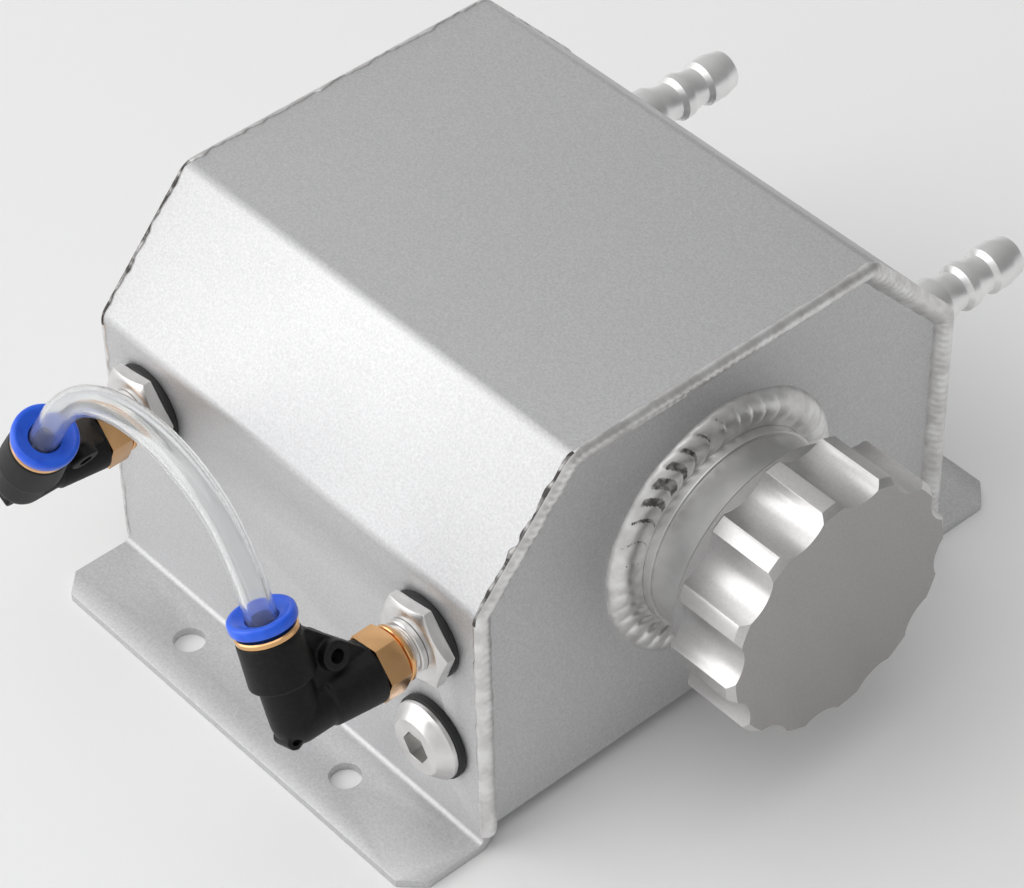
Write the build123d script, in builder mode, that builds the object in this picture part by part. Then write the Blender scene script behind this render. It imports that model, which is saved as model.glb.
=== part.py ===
from build123d import *
from math import cos, degrees, hypot, radians, sin, tan
import os

os.makedirs("parts", exist_ok=True)

# Coolant expansion tank: a folded and welded aluminium box on two flanges, with a screwed
# filler cap on one end, two hose barbs on the back wall, and on the front wall a drain plug
# and two push-in elbows that hold a clear level tube.
# Millimetres. The origin is the middle of the four flange holes, on the underside of the
# flanges. +X points to the filler cap, +Z up, -Y to the side with the level tube.

# Driving dimensions of the tank body
tank_length = 110.0
body_width = 122.0
top_width = 76.0
tank_height = 88.5
shoulder_height = 63.0
flange_reach = 18.0
flange_corner_cut = 4.5
sheet = 2.0
fold_radius = 1.2
hole_spacing_x = 48.5
hole_reach = 8.25
hole_radius = 3.25

# End plates and bottom plate, let into the folded sheet
end_plate_thickness = 2.0
end_recess = 1.2
bottom_thickness = 2.0
bottom_rise = 4.0
plate_gap = 0.05

# Weld beads
bead_edge = 0.3
bead_width = 4.1
bead_proud = 1.0
bead_corner_radius = 5.0
bottom_bead_width = 2.2
bottom_bead_height = 1.4
neck_bead_width = 6.4
neck_bead_height = 3.2
barb_bead = 2.4

# Filler neck
neck_height = 46.5
neck_radius = 21.0
neck_bore_radius = 17.5
neck_collar_radius = 21.7
neck_collar_length = 4.5
neck_length = 25.8
neck_inside = 1.8
neck_thread_radius = 20.7
neck_thread_length = 13.8

# Filler cap and its flat seal
cap_radius = 28.0
cap_band_radius = 25.0
cap_band_length = 2.7
cap_flute_length = 16.0
cap_face_thickness = 4.0
cap_rim_chamfer = 1.3
cap_flute_count = 12
cap_flute_radius = 7.7
cap_flute_turn = -8.0
seal_thickness = 2.5
seal_edge_gap = 0.3
seal_gap = 0.05

# Ports of the level tube and the drain, on the front wall. An inset is the distance from
# the tank's end.
port_inset = 13.8
port_height = 49.2
drain_inset = 12.7
drain_height = 22.5
thread_radius = 4.9
thread_clearance = 0.1
wall_hole_radius = 5.4
bung_radius = 7.4
bung_length = 7.0
washer_radius = 8.9
washer_bore_radius = 5.2
washer_thickness = 1.6

# Port fitting: a hexagon with a threaded shank on each side
port_hex_flats = 17.0
port_hex_thickness = 2.9
port_shank_depth = 6.8
port_collar_radius = 5.5
port_collar_length = 1.3
stub_length = 6.2
stub_radius = 4.85
port_bore_radius = 2.5

# Brass stud of the elbow
stud_start = 7.4
stud_ring_radius = 5.9
stud_ring_length = 1.2
stud_hex_flats = 12.0
stud_hex_length = 5.4
stud_socket_depth = 5.2
stud_spigot_radius = 4.4
stud_spigot_length = 7.0
stud_bore_radius = 2.2

# Push-in elbow
elbow_reach = 30.7
elbow_radius = 5.0
thread_arm_radius = 6.5
thread_arm_root_radius = 5.5
thread_arm_step = 5.8
socket_arm_radius = 6.4
socket_mouth_radius = 6.1
socket_step = 7.9
socket_length = 17.6
elbow_fit = 0.05
lean_1 = 112.0
lean_2 = 60.0
web_thickness = 6.0
web_length = 15.6
web_height = 6.4
boss_reach = 9.0
boss_radius = 2.9
boss_thickness = 10.4
boss_hole_radius = 1.4
lug_radius = 1.7
lug_reach = 2.9
lug_thickness = 5.0
lug_hole_radius = 0.8

# Tube socket inside the elbow
tube_radius = 3.0
tube_bore_radius = 2.0
tube_seat = 3.5
tube_fit = 0.1
pocket_start = 8.5
pocket_radius = 5.0
tube_seal_height = 1.9
grab_ring_thickness = 0.3
grab_ring_start = 10.5
grab_tooth_count = 8
grab_tooth_slope = 0.5
ring_bore_radius = 4.35
ring_lip_radius = 6.0
ring_lip_length = 1.2
collar_bore_radius = 3.25
collar_stem_radius = 4.25
collar_flange_radius = 6.5
collar_flange_thickness = 2.4
collar_stroke = 0.7

# Clear level tube: the straight run above each elbow's centre, and the arch between them as
# (share of the way from the middle to a port, rise above the ports)
tube_straight_1 = 30.4
tube_straight_2 = 34.6
tube_arch = ((-0.354, 39.1), (-0.044, 44.3), (0.272, 44.0), (0.558, 38.3))

# Drain plug
plug_head_radius = 8.4
plug_rim_thickness = 0.9
plug_head_height = 3.4
plug_face_radius = 6.1
plug_key_flats = 6.0
plug_key_depth = 4.5
plug_shank_length = 8.5

# Hose barbs on the back wall
barb_inset = 14.0
barb_height = 49.5
barb_bore_radius = 3.2
barb_root_radius = 5.6
barb_spigot_radius = 5.2
barb_ridge_radius = 5.1
barb_waist_radius = 4.15
barb_tip_radius = 4.4
barb_length = 31.7
barb_ridge_start = 16.6
barb_ridge_pitch = 7.5
barb_ridge_land = 2.0
barb_inside = 1.5

# Values that follow from the driving dimensions
half_length = tank_length / 2
half_body = body_width / 2
half_top = top_width / 2
slope_run = half_body - half_top
slope_rise = tank_height - shoulder_height
slope_length = hypot(slope_run, slope_rise)
end_face = half_length - end_recess
end_inner_face = end_face - end_plate_thickness
hole_spacing_y = body_width + 2 * hole_reach
port_x = half_length - port_inset
drain_x = half_length - drain_inset
barb_x = half_length - barb_inset
port_places = [(port_x, port_height), (-port_x, port_height)]
collar_start = socket_length + ring_lip_length + collar_stroke + tube_fit


def shell_outline(depth, foot):
    """Outline of the tank's cross-section, moved inwards by depth, from foot to foot."""
    shoulder_drop = depth * (1 - slope_rise / slope_length) / (slope_run / slope_length)
    top_shift = depth * (1 - slope_run / slope_length) / (slope_rise / slope_length)
    wall = half_body - depth
    shoulder = (wall, shoulder_height - shoulder_drop)
    top = (half_top - top_shift, tank_height - depth)
    right = [(wall, foot), shoulder, top]
    left = [(-y, z) for y, z in reversed(right)]
    return right + left


# Folded sheet: flange, wall, slope, top, slope, wall and flange from one blank
with BuildPart() as body_wrap:
    middle = sheet / 2
    with BuildSketch(Plane.YZ.offset(-half_length)):
        with BuildLine():
            FilletPolyline(
                (half_body + flange_reach, middle),
                *shell_outline(middle, middle),
                (-half_body - flange_reach, middle),
                radius=fold_radius + middle,
            )
        trace(line_width=sheet)
    extrude(amount=tank_length)
    flange_edge = half_body + flange_reach
    corner_edges = (
        body_wrap.edges()
        .filter_by(Axis.Z)
        .filter_by(lambda edge: abs(abs(edge.center().Y) - flange_edge) < sheet / 10)
    )
    chamfer(corner_edges, length=flange_corner_cut)
    with Locations((0, 0, sheet)):
        with GridLocations(hole_spacing_x, hole_spacing_y, 2, 2):
            Hole(radius=hole_radius, depth=sheet)
    # Holes through the front wall for the ports and the drain
    front = Plane(origin=(0, -half_body, 0), x_dir=(1, 0, 0), z_dir=(0, -1, 0))
    with BuildSketch(front):
        with Locations(*port_places, (drain_x, drain_height)):
            Circle(wall_hole_radius)
    extrude(amount=-sheet, mode=Mode.SUBTRACT)
    # Holes through the back wall for the hose barbs
    back = Plane(origin=(0, half_body, 0), x_dir=(-1, 0, 0), z_dir=(0, 1, 0))
    with BuildSketch(back):
        with Locations((barb_x, barb_height), (-barb_x, barb_height)):
            Circle(barb_spigot_radius + plate_gap)
    extrude(amount=-sheet, mode=Mode.SUBTRACT)
body_wrap.part.label = "body_wrap"
export_step(body_wrap.part, "parts/body_wrap.step")


# End plates, cut to the inside of the folded sheet
with BuildPart() as closed_end_plate:
    with BuildSketch(Plane.YZ.offset(-end_face)) as plate_outline:
        with BuildLine():
            Polyline(*shell_outline(sheet + plate_gap, bottom_rise), close=True)
        make_face()
        upper_corners = plate_outline.vertices().group_by(Axis.Y)[1:]
        fillet([corner for row in upper_corners for corner in row], radius=fold_radius)
    extrude(amount=end_plate_thickness)
closed_end_plate.part.label = "closed_end_plate"
export_step(closed_end_plate.part, "parts/closed_end_plate.step")

with BuildPart() as cap_end_plate:
    mirror(closed_end_plate.part, about=Plane.YZ)
    with BuildSketch(Plane.YZ.offset(end_inner_face)):
        with Locations((0, neck_height)):
            Circle(neck_collar_radius + plate_gap)
    extrude(amount=end_plate_thickness, mode=Mode.SUBTRACT)
cap_end_plate.part.label = "cap_end_plate"
export_step(cap_end_plate.part, "parts/cap_end_plate.step")

# Bottom plate between the walls and the end plates
with BuildPart() as bottom_plate:
    with BuildSketch(Plane.XY.offset(bottom_rise)):
        Rectangle(2 * (end_inner_face - plate_gap), body_width - 2 * (sheet + plate_gap))
    extrude(amount=bottom_thickness)
bottom_plate.part.label = "bottom_plate"
export_step(bottom_plate.part, "parts/bottom_plate.step")


# Bead over each end seam, on the sheet's cut edge and down into the corner of the end plate.
# On the profile's plane local x runs inwards from the seam line, local y towards +X.
with BuildPart() as cap_end_weld:
    with BuildLine() as seam_line:
        seam = shell_outline(bead_edge, bottom_rise)
        FilletPolyline(*[(half_length, y, z) for y, z in seam], radius=bead_corner_radius)
    seam_plane = Plane(
        origin=(half_length, half_body - bead_edge, bottom_rise),
        x_dir=(0, -1, 0),
        z_dir=(0, 0, 1),
    )
    lap = sheet + plate_gap - bead_edge
    with BuildSketch(seam_plane):
        with BuildLine():
            Polyline((bead_width, -end_recess), (lap, -end_recess), (lap, 0), (0, 0))
            ThreePointArc((0, 0), (0.3 * lap, 0.72 * bead_proud), (lap, bead_proud))
            ThreePointArc(
                (lap, bead_proud),
                (lap + 0.62 * (bead_width - lap), 0.3 * bead_proud),
                (bead_width, -end_recess),
            )
        make_face()
    sweep(path=seam_line.line)
cap_end_weld.part.label = "cap_end_weld"
export_step(cap_end_weld.part, "parts/cap_end_weld.step")

with BuildPart() as closed_end_weld:
    mirror(cap_end_weld.part, about=Plane.YZ)
closed_end_weld.part.label = "closed_end_weld"
export_step(closed_end_weld.part, "parts/closed_end_weld.step")

# Bead round the underside of the bottom plate
with BuildPart() as bottom_weld:
    with BuildSketch(Plane.XY.offset(bottom_rise)):
        Rectangle(
            2 * (end_inner_face + bottom_bead_width / 2),
            body_width - 2 * (sheet + plate_gap),
        )
        Rectangle(
            2 * (end_inner_face - bottom_bead_width / 2),
            body_width - 2 * (sheet + plate_gap + bottom_bead_width),
            mode=Mode.SUBTRACT,
        )
    extrude(amount=-bottom_bead_height)
    chamfer(bottom_weld.faces().sort_by(Axis.Z)[0].edges(), length=bottom_bead_height / 2)
bottom_weld.part.label = "bottom_weld"
export_step(bottom_weld.part, "parts/bottom_weld.step")


# Filler neck: a turned ring with a collar at the plate and a plain length for the thread.
# On this plane local x is the row's X and local y is the height above the neck's axis.
neck_plane = Plane(origin=(0, 0, neck_height), x_dir=(1, 0, 0), z_dir=(0, -1, 0))
neck_axis = Axis((0, 0, neck_height), (1, 0, 0))
neck_start = end_inner_face - neck_inside
neck_step = end_face + neck_collar_length
neck_rim = end_face + neck_length
neck_edge = 0.8

with BuildPart() as filler_neck:
    with BuildSketch(neck_plane):
        with BuildLine():
            Polyline(
                (neck_start, neck_bore_radius),
                (neck_start, neck_collar_radius),
                (neck_step - neck_edge / 2, neck_collar_radius),
                (neck_step, neck_collar_radius - neck_edge / 2),
                (neck_step, neck_radius),
                (neck_rim - neck_thread_length, neck_radius),
                (neck_rim - neck_thread_length, neck_thread_radius),
                (neck_rim - neck_edge, neck_thread_radius),
                (neck_rim, neck_thread_radius - neck_edge),
                (neck_rim, neck_bore_radius),
                close=True,
            )
        make_face()
    revolve(axis=neck_axis)
filler_neck.part.label = "filler_neck"
export_step(filler_neck.part, "parts/filler_neck.step")

with BuildPart() as neck_weld:
    bead_root = neck_collar_radius + plate_gap
    bead_toe = bead_root + neck_bead_width
    with BuildSketch(neck_plane):
        with BuildLine():
            Line((end_face, bead_toe), (end_face, bead_root))
            Line((end_face, bead_root), (end_face + neck_bead_height / 2, bead_root))
            ThreePointArc(
                (end_face + neck_bead_height / 2, bead_root),
                (end_face + neck_bead_height, bead_root + 0.45 * neck_bead_width),
                (end_face, bead_toe),
            )
        make_face()
    revolve(axis=neck_axis)
neck_weld.part.label = "neck_weld"
export_step(neck_weld.part, "parts/neck_weld.step")


# Filler cap: a cup screwed over the neck, with a plain band and twelve concave flutes
seal_face = neck_rim + seal_gap
cap_ceiling = seal_face + seal_thickness + seal_gap
cap_front = cap_ceiling + cap_face_thickness
cap_shoulder = cap_front - cap_flute_length
cap_back = cap_shoulder - cap_band_length
cap_bore_radius = neck_thread_radius + thread_clearance
cap_break = 0.4

with BuildPart() as filler_cap:
    with BuildSketch(neck_plane):
        with BuildLine():
            Polyline(
                (cap_back, cap_bore_radius + cap_break),
                (cap_back, cap_band_radius - cap_break),
                (cap_back + cap_break, cap_band_radius),
                (cap_shoulder, cap_band_radius),
                (cap_shoulder + cap_break, cap_radius),
                (cap_front - cap_rim_chamfer, cap_radius),
                (cap_front, cap_radius - cap_rim_chamfer),
                (cap_front, 0),
                (cap_ceiling, 0),
                (cap_ceiling, cap_bore_radius),
                (cap_back + cap_break, cap_bore_radius),
                close=True,
            )
        make_face()
    revolve(axis=neck_axis)
    cap_face_plane = Plane(origin=(cap_front, 0, neck_height), x_dir=(0, 1, 0), z_dir=(1, 0, 0))
    with BuildSketch(cap_face_plane):
        with PolarLocations(cap_band_radius + cap_flute_radius, cap_flute_count, cap_flute_turn):
            Circle(cap_flute_radius)
    extrude(amount=-cap_flute_length, mode=Mode.SUBTRACT)
filler_cap.part.label = "filler_cap"
export_step(filler_cap.part, "parts/filler_cap.step")

with BuildPart() as cap_seal:
    with BuildSketch(Plane(origin=(seal_face, 0, neck_height), x_dir=(0, 1, 0), z_dir=(1, 0, 0))):
        Circle(cap_bore_radius - seal_edge_gap)
        Circle(neck_bore_radius, mode=Mode.SUBTRACT)
    extrude(amount=seal_thickness)
cap_seal.part.label = "cap_seal"
export_step(cap_seal.part, "parts/cap_seal.step")


def wall_plane(x, height):
    """Plane on the front wall: local x runs out of the wall, local y is a radius."""
    return Plane(origin=(x, -half_body, height), x_dir=(0, -1, 0), z_dir=(-1, 0, 0))


def face_plane(x, height, distance):
    """Plane parallel to the front wall, at a distance outside it, looking outwards."""
    return Plane(origin=(x, -half_body - distance, height), x_dir=(1, 0, 0), z_dir=(0, -1, 0))


def wall_axis(x, height):
    """Axis of a fitting on the front wall, pointing outwards."""
    return Axis((x, -half_body, height), (0, -1, 0))


bung_edge = 0.6
bung_bore_radius = thread_radius + thread_clearance

# Threaded bung welded inside the wall behind each port and behind the drain
bung_places = {
    "port_bung_1": port_places[0],
    "port_bung_2": port_places[1],
    "drain_bung": (drain_x, drain_height),
}
for bung_name, (bung_x, bung_z) in bung_places.items():
    with BuildPart() as bung:
        with BuildSketch(wall_plane(bung_x, bung_z)):
            with BuildLine():
                Polyline(
                    (-sheet, bung_bore_radius),
                    (-sheet, bung_radius),
                    (-sheet - bung_length + bung_edge, bung_radius),
                    (-sheet - bung_length, bung_radius - bung_edge),
                    (-sheet - bung_length, bung_bore_radius),
                    close=True,
                )
            make_face()
        revolve(axis=wall_axis(bung_x, bung_z))
    bung.part.label = bung_name
    export_step(bung.part, f"parts/{bung_name}.step")

# Rubber washer under each port fitting and under the drain plug
drain_washer_face = seal_gap
washer_places = {
    "port_washer_1": (port_x, port_height, 0),
    "port_washer_2": (-port_x, port_height, 0),
    "drain_washer": (drain_x, drain_height, drain_washer_face),
}
for washer_name, (washer_x, washer_z, distance) in washer_places.items():
    with BuildPart() as washer:
        with BuildSketch(face_plane(washer_x, washer_z, distance)):
            Circle(washer_radius)
            Circle(washer_bore_radius, mode=Mode.SUBTRACT)
        extrude(amount=washer_thickness)
    washer.part.label = washer_name
    export_step(washer.part, f"parts/{washer_name}.step")


# Drain plug: a low conical head with a hexagon socket, on a threaded shank
with BuildPart() as drain_plug:
    head_seat = drain_washer_face + washer_thickness + seal_gap
    head_rim = head_seat + plug_rim_thickness
    head_face = head_seat + plug_head_height
    with BuildSketch(wall_plane(drain_x, drain_height)):
        with BuildLine():
            Polyline(
                (head_face, plug_face_radius),
                (head_face, 0),
                (head_seat - plug_shank_length, 0),
                (head_seat - plug_shank_length, thread_radius - bung_edge),
                (head_seat - plug_shank_length + bung_edge, thread_radius),
                (head_seat, thread_radius),
                (head_seat, plug_head_radius),
                (head_rim, plug_head_radius),
            )
            flank_rise = 0.56 * (head_face - head_rim)
            ThreePointArc(
                (head_rim, plug_head_radius),
                (head_rim + flank_rise, (plug_head_radius + plug_face_radius) / 2),
                (head_face, plug_face_radius),
            )
        make_face()
    revolve(axis=wall_axis(drain_x, drain_height))
    with BuildSketch(face_plane(drain_x, drain_height, head_face)):
        RegularPolygon(radius=plug_key_flats / 2, side_count=6, major_radius=False)
    extrude(amount=-plug_key_depth, mode=Mode.SUBTRACT)
drain_plug.part.label = "drain_plug"
export_step(drain_plug.part, "parts/drain_plug.step")


# Level tube assembly, one set at each port: number 1 on the cap side, 2 on the closed side
port_hex_corner = port_hex_flats / 2 / cos(radians(30))
stud_hex_corner = stud_hex_flats / 2 / cos(radians(30))
hex_start = washer_thickness
hex_end = hex_start + port_hex_thickness
stub_start = hex_end + port_collar_length
stub_end = stub_start + stub_length
stud_hex_start = stud_start + stud_ring_length
stud_hex_end = stud_hex_start + stud_hex_length
hex_bevel = 0.5
hex_face_inset = 0.6
hex_turn = 10.0
ports = [(1, port_x, lean_1), (2, -port_x, lean_2)]


def bevel_outline(face, corner, flats, side):
    """Triangle that cuts a hexagon's corners to a cone at a face. side is 1 outwards, -1 inwards."""
    start = flats / 2 - hex_face_inset
    top = corner + hex_face_inset
    return [(face, start), (face, top), (face - side * (top - start) * hex_bevel, top)]


for number, place_x, lean in ports:
    # Hexagon fitting with an inner shank in the bung and an outer threaded stub
    with BuildPart() as port_fitting:
        with BuildSketch(face_plane(place_x, port_height, hex_start)):
            RegularPolygon(port_hex_flats / 2, 6, major_radius=False, rotation=hex_turn)
        extrude(amount=port_hex_thickness)
        with BuildSketch(wall_plane(place_x, port_height)):
            with BuildLine():
                Polyline(*bevel_outline(hex_end, port_hex_corner, port_hex_flats, 1), close=True)
            make_face()
        revolve(axis=wall_axis(place_x, port_height), mode=Mode.SUBTRACT)
        with BuildSketch(wall_plane(place_x, port_height)):
            with BuildLine():
                Polyline(
                    (-port_shank_depth, 0),
                    (-port_shank_depth, thread_radius - bung_edge),
                    (-port_shank_depth + bung_edge, thread_radius),
                    (hex_start, thread_radius),
                    (hex_end, thread_radius),
                    (hex_end, port_collar_radius),
                    (stub_start - hex_bevel, port_collar_radius),
                    (stub_start, port_collar_radius - hex_bevel),
                    (stub_start, stub_radius),
                    (stub_end - hex_bevel, stub_radius),
                    (stub_end, stub_radius - hex_bevel),
                    (stub_end, 0),
                    close=True,
                )
            make_face()
        revolve(axis=wall_axis(place_x, port_height))
        with BuildSketch(face_plane(place_x, port_height, stub_end)):
            Circle(port_bore_radius)
        extrude(amount=-(stub_end + port_shank_depth), mode=Mode.SUBTRACT)
    port_fitting.part.label = f"port_fitting_{number}"
    export_step(port_fitting.part, f"parts/port_fitting_{number}.step")

    # Brass stud: a ring and a hexagon screwed on the stub, with a spigot in the elbow
    with BuildPart() as elbow_stud:
        with BuildSketch(face_plane(place_x, port_height, stud_hex_start)):
            RegularPolygon(stud_hex_flats / 2, 6, major_radius=False, rotation=hex_turn)
        extrude(amount=stud_hex_length)
        with BuildSketch(wall_plane(place_x, port_height)):
            with BuildLine():
                Polyline(*bevel_outline(stud_hex_start, stud_hex_corner, stud_hex_flats, -1), close=True)
            make_face()
        revolve(axis=wall_axis(place_x, port_height), mode=Mode.SUBTRACT)
        with BuildSketch(face_plane(place_x, port_height, stud_start)):
            Circle(stud_ring_radius)
        extrude(amount=stud_ring_length + stud_hex_length / 2)
        with BuildSketch(face_plane(place_x, port_height, stud_hex_end)):
            Circle(stud_spigot_radius)
        extrude(amount=stud_spigot_length)
        with BuildSketch(wall_plane(place_x, port_height)):
            with BuildLine():
                Polyline(
                    (stud_start, 0),
                    (stud_start, stub_radius + thread_clearance),
                    (stud_start + stud_socket_depth, stub_radius + thread_clearance),
                    (stud_start + stud_socket_depth, stud_bore_radius),
                    (stud_hex_end + stud_spigot_length, stud_bore_radius),
                    (stud_hex_end + stud_spigot_length, 0),
                    close=True,
                )
            make_face()
        revolve(axis=wall_axis(place_x, port_height), mode=Mode.SUBTRACT)
    elbow_stud.part.label = f"elbow_stud_{number}"
    export_step(elbow_stud.part, f"parts/elbow_stud_{number}.step")

    # Plane through both arms of the elbow: local x along the tube socket, local y towards
    # the tank. Its origin is where the two arms' axes cross.
    elbow_centre = (place_x, -half_body - elbow_reach, port_height)
    socket_direction = (cos(radians(lean)), 0, sin(radians(lean)))
    arms = Plane(
        origin=elbow_centre,
        x_dir=socket_direction,
        z_dir=(-sin(radians(lean)), 0, cos(radians(lean))),
    )
    socket_axis = Axis(elbow_centre, socket_direction)
    thread_arm_axis = Axis(elbow_centre, (0, 1, 0))
    thread_arm_end = elbow_reach - stud_hex_end

    with BuildPart() as elbow_body:
        with BuildSketch(arms):
            with BuildLine():
                Polyline(
                    (0, 0),
                    (0, elbow_radius),
                    (socket_step, elbow_radius),
                    (socket_step + 0.5, socket_arm_radius),
                    (socket_length - 0.4, socket_mouth_radius),
                    (socket_length, socket_mouth_radius - 0.4),
                    (socket_length, 0),
                    close=True,
                )
            make_face()
        revolve(axis=socket_axis)
        with BuildSketch(arms):
            with BuildLine():
                Polyline(
                    (0, 0),
                    (elbow_radius, 0),
                    (elbow_radius, thread_arm_step),
                    (thread_arm_root_radius, thread_arm_step + 0.5),
                    (thread_arm_radius, thread_arm_end - 0.4),
                    (thread_arm_radius - 0.4, thread_arm_end),
                    (0, thread_arm_end),
                    close=True,
                )
            make_face()
        revolve(axis=thread_arm_axis)
        with Locations(arms.location):
            Sphere(elbow_radius)
        # Web in the inner corner with a fixing boss on it, and a small lug at the outer corner
        with BuildSketch(arms):
            with BuildLine():
                Polyline(
                    (0, 0),
                    (web_length, 0),
                    (web_length, web_height),
                    (web_height, web_length),
                    (0, web_length),
                    close=True,
                )
            make_face()
        extrude(amount=web_thickness / 2, both=True)
        with BuildSketch(arms):
            with Locations((boss_reach, boss_reach)):
                Circle(boss_radius)
        extrude(amount=boss_thickness / 2, both=True)
        with BuildSketch(arms):
            with Locations((-lug_reach, -lug_reach)):
                Circle(lug_radius)
        extrude(amount=lug_thickness / 2, both=True)
        with BuildSketch(arms):
            with Locations((boss_reach, boss_reach)):
                Circle(boss_hole_radius)
            with Locations((-lug_reach, -lug_reach)):
                Circle(lug_hole_radius)
        extrude(amount=boss_thickness, both=True, mode=Mode.SUBTRACT)
        # Bores: the tube's seat and the pocket on one arm, the spigot's bore on the other
        with BuildSketch(arms):
            with BuildLine():
                Polyline(
                    (0, 0),
                    (0, stud_bore_radius),
                    (tube_seat, stud_bore_radius),
                    (tube_seat, tube_radius + tube_fit),
                    (pocket_start, tube_radius + tube_fit),
                    (pocket_start, pocket_radius),
                    (socket_length, pocket_radius),
                    (socket_length, 0),
                    close=True,
                )
            make_face()
        revolve(axis=socket_axis, mode=Mode.SUBTRACT)
        spigot_end = elbow_reach - stud_hex_end - stud_spigot_length
        with BuildSketch(arms):
            with BuildLine():
                Polyline(
                    (0, 0),
                    (stud_bore_radius, 0),
                    (stud_bore_radius, spigot_end - tube_fit),
                    (stud_spigot_radius + elbow_fit, spigot_end - tube_fit),
                    (stud_spigot_radius + elbow_fit, thread_arm_end),
                    (0, thread_arm_end),
                    close=True,
                )
            make_face()
        revolve(axis=thread_arm_axis, mode=Mode.SUBTRACT)
    elbow_body.part.label = f"elbow_body_{number}"
    export_step(elbow_body.part, f"parts/elbow_body_{number}.step")

    # Rubber seal round the tube, at the bottom of the pocket
    seal_inner = tube_radius + tube_fit
    seal_outer = pocket_radius - elbow_fit
    seal_edge = tube_seal_height / 4
    with BuildPart() as tube_seal:
        with BuildSketch(arms):
            with BuildLine():
                Polyline(
                    (pocket_start + seal_edge, seal_inner),
                    (pocket_start + tube_seal_height - seal_edge, seal_inner),
                    (pocket_start + tube_seal_height, seal_inner + seal_edge),
                    (pocket_start + tube_seal_height, seal_outer - seal_edge),
                    (pocket_start + tube_seal_height - seal_edge, seal_outer),
                    (pocket_start + seal_edge, seal_outer),
                    (pocket_start, seal_outer - seal_edge),
                    (pocket_start, seal_inner + seal_edge),
                    close=True,
                )
            make_face()
        revolve(axis=socket_axis)
    tube_seal.part.label = f"tube_seal_{number}"
    export_step(tube_seal.part, f"parts/tube_seal_{number}.step")

    # Steel grab ring with slotted teeth that slope down towards the tube
    tooth_height = grab_tooth_slope * (seal_outer - seal_inner)
    grab_ring_top = grab_ring_start + grab_ring_thickness
    with BuildPart() as grab_ring:
        with BuildSketch(arms):
            with BuildLine():
                Polyline(
                    (grab_ring_start, seal_inner),
                    (grab_ring_start + tooth_height, seal_outer),
                    (grab_ring_top + tooth_height, seal_outer),
                    (grab_ring_top, seal_inner),
                    close=True,
                )
            make_face()
        revolve(axis=socket_axis)
        slot_plane = Plane(origin=elbow_centre, x_dir=(0, 1, 0), z_dir=socket_direction)
        with BuildSketch(slot_plane.offset(grab_ring_start - tooth_height)):
            with PolarLocations(seal_inner, grab_tooth_count):
                Rectangle(0.6 * (seal_outer - seal_inner) * 2, 0.5)
        extrude(amount=4 * tooth_height, mode=Mode.SUBTRACT)
    grab_ring.part.label = f"grab_ring_{number}"
    export_step(grab_ring.part, f"parts/grab_ring_{number}.step")

    # Brass ring that lines the pocket's mouth and guides the release collar
    ring_start = grab_ring_top + tooth_height + elbow_fit
    with BuildPart() as socket_ring:
        with BuildSketch(arms):
            with BuildLine():
                Polyline(
                    (ring_start, ring_bore_radius),
                    (ring_start, seal_outer),
                    (socket_length, seal_outer),
                    (socket_length, ring_lip_radius - 0.2),
                    (socket_length + 0.2, ring_lip_radius),
                    (socket_length + ring_lip_length - 0.4, ring_lip_radius),
                    (socket_length + ring_lip_length, ring_lip_radius - 0.4),
                    (socket_length + ring_lip_length, ring_bore_radius),
                    close=True,
                )
            make_face()
        revolve(axis=socket_axis)
    socket_ring.part.label = f"socket_ring_{number}"
    export_step(socket_ring.part, f"parts/socket_ring_{number}.step")

    # Release collar: pressed in by hand to free the tube
    stem_rise = grab_tooth_slope * (collar_stem_radius - seal_inner)
    stem_start = grab_ring_top + stem_rise + collar_stroke + elbow_fit
    collar_end = collar_start + collar_flange_thickness
    rounding = 0.7
    with BuildPart() as release_collar:
        with BuildSketch(arms):
            with BuildLine():
                Polyline(
                    (stem_start, collar_bore_radius),
                    (stem_start, collar_stem_radius),
                    (collar_start, collar_stem_radius),
                    (collar_start, collar_flange_radius - rounding),
                    (collar_start + rounding, collar_flange_radius),
                    (collar_end - rounding, collar_flange_radius),
                    (collar_end - rounding / 3, collar_flange_radius - rounding / 3),
                    (collar_end, collar_flange_radius - rounding),
                    (collar_end, collar_bore_radius + 2 * rounding),
                    (collar_end - rounding, collar_bore_radius),
                    close=True,
                )
            make_face()
        revolve(axis=socket_axis)
    release_collar.part.label = f"release_collar_{number}"
    export_step(release_collar.part, f"parts/release_collar_{number}.step")


# Clear level tube, pushed into both elbows: straight in the sockets, an arch between them.
# The points are where straight runs along its middle line would meet, as (x, z).
def socket_point(place_x, lean, distance):
    """Point on the axis of a tube socket, at a distance from its elbow's centre."""
    return (place_x + distance * cos(radians(lean)), port_height + distance * sin(radians(lean)))


tube_route = [
    socket_point(-port_x, lean_2, tube_seat + tube_fit),
    socket_point(-port_x, lean_2, tube_straight_2),
    *[(share * port_x, port_height + rise) for share, rise in tube_arch],
    socket_point(port_x, lean_1, tube_straight_1),
    socket_point(port_x, lean_1, tube_seat + tube_fit),
]
tube_y = -half_body - elbow_reach
route_points = [Vector(x, tube_y, z) for x, z in tube_route]
route_radii = []
for before, corner, after in zip(route_points, route_points[1:], route_points[2:]):
    turn = (corner - before).get_angle(after - corner)
    shorter = min((corner - before).length, (after - corner).length)
    route_radii.append(0.45 * shorter / tan(radians(turn / 2)))
print("tube bend radii:", [round(radius, 1) for radius in route_radii])

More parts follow.
